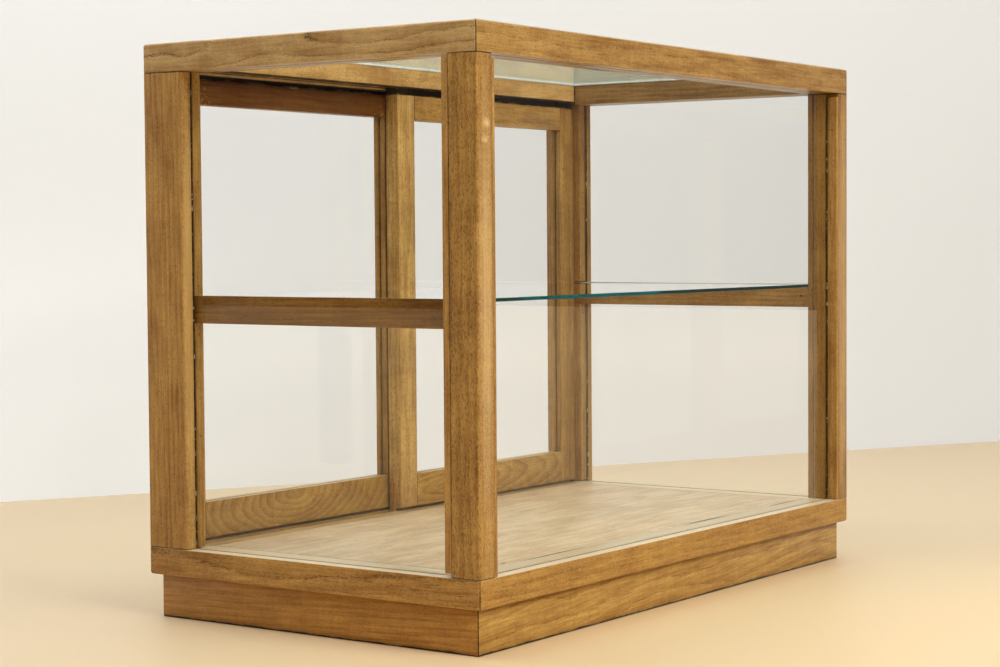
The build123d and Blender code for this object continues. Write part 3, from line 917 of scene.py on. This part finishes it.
def makeWall():
    settings = {"start": (-1.6, 1.897, 0), "end": (6.0, -2.215, 0), "height": 5,
                "tone": colour(239, 245, 252), "glow": colour(238, 240, 246),
                "low": (-2.5, -2.0, 0.24, 0.055), "toLeft": (-2.28, -1.48, 1.0, 0.2)}
    start = Vector(settings["start"])
    end = Vector(settings["end"])
    along = end - start
    plane = addPlane("stageWall", 1, (start + end) / 2 + Vector((0, 0, settings["height"] / 2)),
                     (math.radians(90), 0, math.atan2(along.y, along.x)))
    plane.scale = (along.length, settings["height"], 1)
    material, tree, surface, ownPlace = paleMaterial("stageWall", settings["tone"], settings["glow"])

    # the wall is brightest low down and to the left
    split = addNode(tree, "ShaderNodeSeparateXYZ")
    feed(tree, split.inputs[0], vectorMath(tree, "MULTIPLY", ownPlace, plane.scale))
    low = ramped(tree, split.outputs[1], *settings["low"])
    toLeft = ramped(tree, split.outputs[0], *settings["toLeft"])
    feed(tree, surface.inputs["Emission Strength"], times(tree, low, toLeft))

    # it is open to a camera that stands behind it
    behind = addNode(tree, "ShaderNodeNewGeometry").outputs["Backfacing"]
    clear = addNode(tree, "ShaderNodeBsdfTransparent").outputs[0]
    result = mixedShaders(tree, behind, surface.outputs[0], clear)
    feed(tree, tree.nodes["Material Output"].inputs["Surface"], result)
    setOnStage(plane, material)


lamps = {
    "windowLight": {"place": (-0.4, -2.9, 2.2), "target": (0, 0, 0.2), "size": (2.0, 1.4), "power": 68,
                    "tone": colour(255, 252, 247)},
    "roomLight": {"place": (-2.1, -2.1, 2.3), "target": (0, 0, 0.3), "size": (1.6, 1.2), "power": 2.5,
                  "tone": colour(246, 249, 255)},
    "ceilingLight": {"place": (-0.1, 0.2, 2.8), "target": (0, 0.3, 0), "size": (3.0, 3.0), "power": 39,
                     "tone": colour(255, 253, 250)},
    "wallLight": {"place": (-0.4, 0.6, 1.9), "target": (0.3, 0.95, 0.2), "size": (1.4, 0.7), "power": 7,
                  "tone": colour(255, 253, 250)},
}


def makeLamp(name, settings):
    deselectAll()
    bpy.ops.object.light_add(type="AREA", location=settings["place"])
    lamp = bpy.context.object
    lamp.name = name
    lamp.data.shape = "RECTANGLE"
    lamp.data.size, lamp.data.size_y = settings["size"]
    lamp.data.energy = settings["power"]
    lamp.data.color = settings["tone"][:3]
    towards = Vector(settings["target"]) - Vector(settings["place"])
    lamp.rotation_euler = towards.to_track_quat("-Z", "Y").to_euler()

    # lamps are not mirrored themselves: shiny surfaces and glass see a soft room instead
    lamp.visible_glossy = False
    lamp.visible_transmission = False


def makeRoom():
    settings = {"fill": colour(240, 241, 243), "fillStrength": 0.22, "pale": colour(240, 238, 233),
                "right": (0.83, -0.56, 0), "rightSteps": (0.0, 0.95, 0.04, 0.12),
                "window": (-0.12, -0.81, 0.58), "windowSteps": (0.84, 0.99, 0.0, 1.5), "firstBounce": 0.5}
    world = bpy.data.worlds.new("room")
    world.use_nodes = True
    tree = world.node_tree
    fill = tree.nodes["Background"]
    fill.inputs[0].default_value = settings["fill"]
    fill.inputs[1].default_value = settings["fillStrength"]
    rays = addNode(tree, "ShaderNodeLightPath").outputs

    # shiny surfaces see a room that is bright to the right, dim to the left, with a soft window
    direction = addNode(tree, "ShaderNodeTexCoord").outputs["Generated"]
    toRight = vectorMath(tree, "DOT_PRODUCT", direction, settings["right"])
    toWindow = vectorMath(tree, "DOT_PRODUCT", direction, settings["window"])
    side = ramped(tree, toRight, *settings["rightSteps"])
    window = ramped(tree, toWindow, *settings["windowSteps"])
    mirrored = addNode(tree, "ShaderNodeBackground")
    mirrored.inputs[0].default_value = settings["fill"]
    feed(tree, mirrored.inputs[1], mathOf(tree, "ADD", side, window))
    bounced = mathOf(tree, "GREATER_THAN", rays["Glossy Depth"], settings["firstBounce"])
    shiny = mathOf(tree, "MAXIMUM", rays["Is Glossy Ray"], bounced)
    lit = mixedShaders(tree, shiny, fill.outputs[0], mirrored.outputs[0])

    # what is seen straight, or straight through glass, is pale
    pale = addNode(tree, "ShaderNodeBackground")
    pale.inputs[0].default_value = settings["pale"]
    straight = mathOf(tree, "LESS_THAN", rays["Glossy Depth"], settings["firstBounce"])
    through = times(tree, straight, rays["Is Transmission Ray"])
    direct = mathOf(tree, "MAXIMUM", rays["Is Camera Ray"], through)
    result = mixedShaders(tree, direct, lit, pale.outputs[0])
    feed(tree, tree.nodes["World Output"].inputs["Surface"], result)
    bpy.context.scene.world = world


def makeCamera():
    settings = {"place": (-1.6498, -1.16428, 0.32881), "yaw": 0.97273, "pitch": -0.04418, "roll": -0.00584,
                "lens": 76.67, "sensor": 36, "shift": -0.06}
    yaw, pitch, roll = settings["yaw"], settings["pitch"], settings["roll"]
    forward = Vector((math.sin(yaw) * math.cos(pitch), math.cos(yaw) * math.cos(pitch), math.sin(pitch)))
    level = Vector((math.cos(yaw), -math.sin(yaw), 0))
    upright = level.cross(forward)
    right = level * math.cos(roll) + upright * math.sin(roll)
    top = upright * math.cos(roll) - level * math.sin(roll)
    data = bpy.data.cameras.new("photoCamera")
    data.sensor_width = settings["sensor"]
    data.lens = settings["lens"]
    data.shift_x = settings["shift"]
    camera = bpy.data.objects.new("photoCamera", data)
    bpy.context.scene.collection.objects.link(camera)
    camera.matrix_world = Matrix((right, top, -forward)).transposed().to_4x4()
    camera.location = settings["place"]
    bpy.context.scene.camera = camera


makeFloor()
makeWall()
for name, lamp in lamps.items():
    makeLamp(name, lamp)
makeRoom()
makeCamera()

# glass in front of glass needs many bounces
scene = bpy.context.scene
scene.view_settings.view_transform = "Standard"
scene.cycles.max_bounces = 16
scene.cycles.transmission_bounces = 16
scene.cycles.transparent_max_bounces = 24
scene.cycles.diffuse_bounces = 4
scene.cycles.caustics_reflective = False
scene.cycles.caustics_refractive = False
print("stage, lights and camera set")
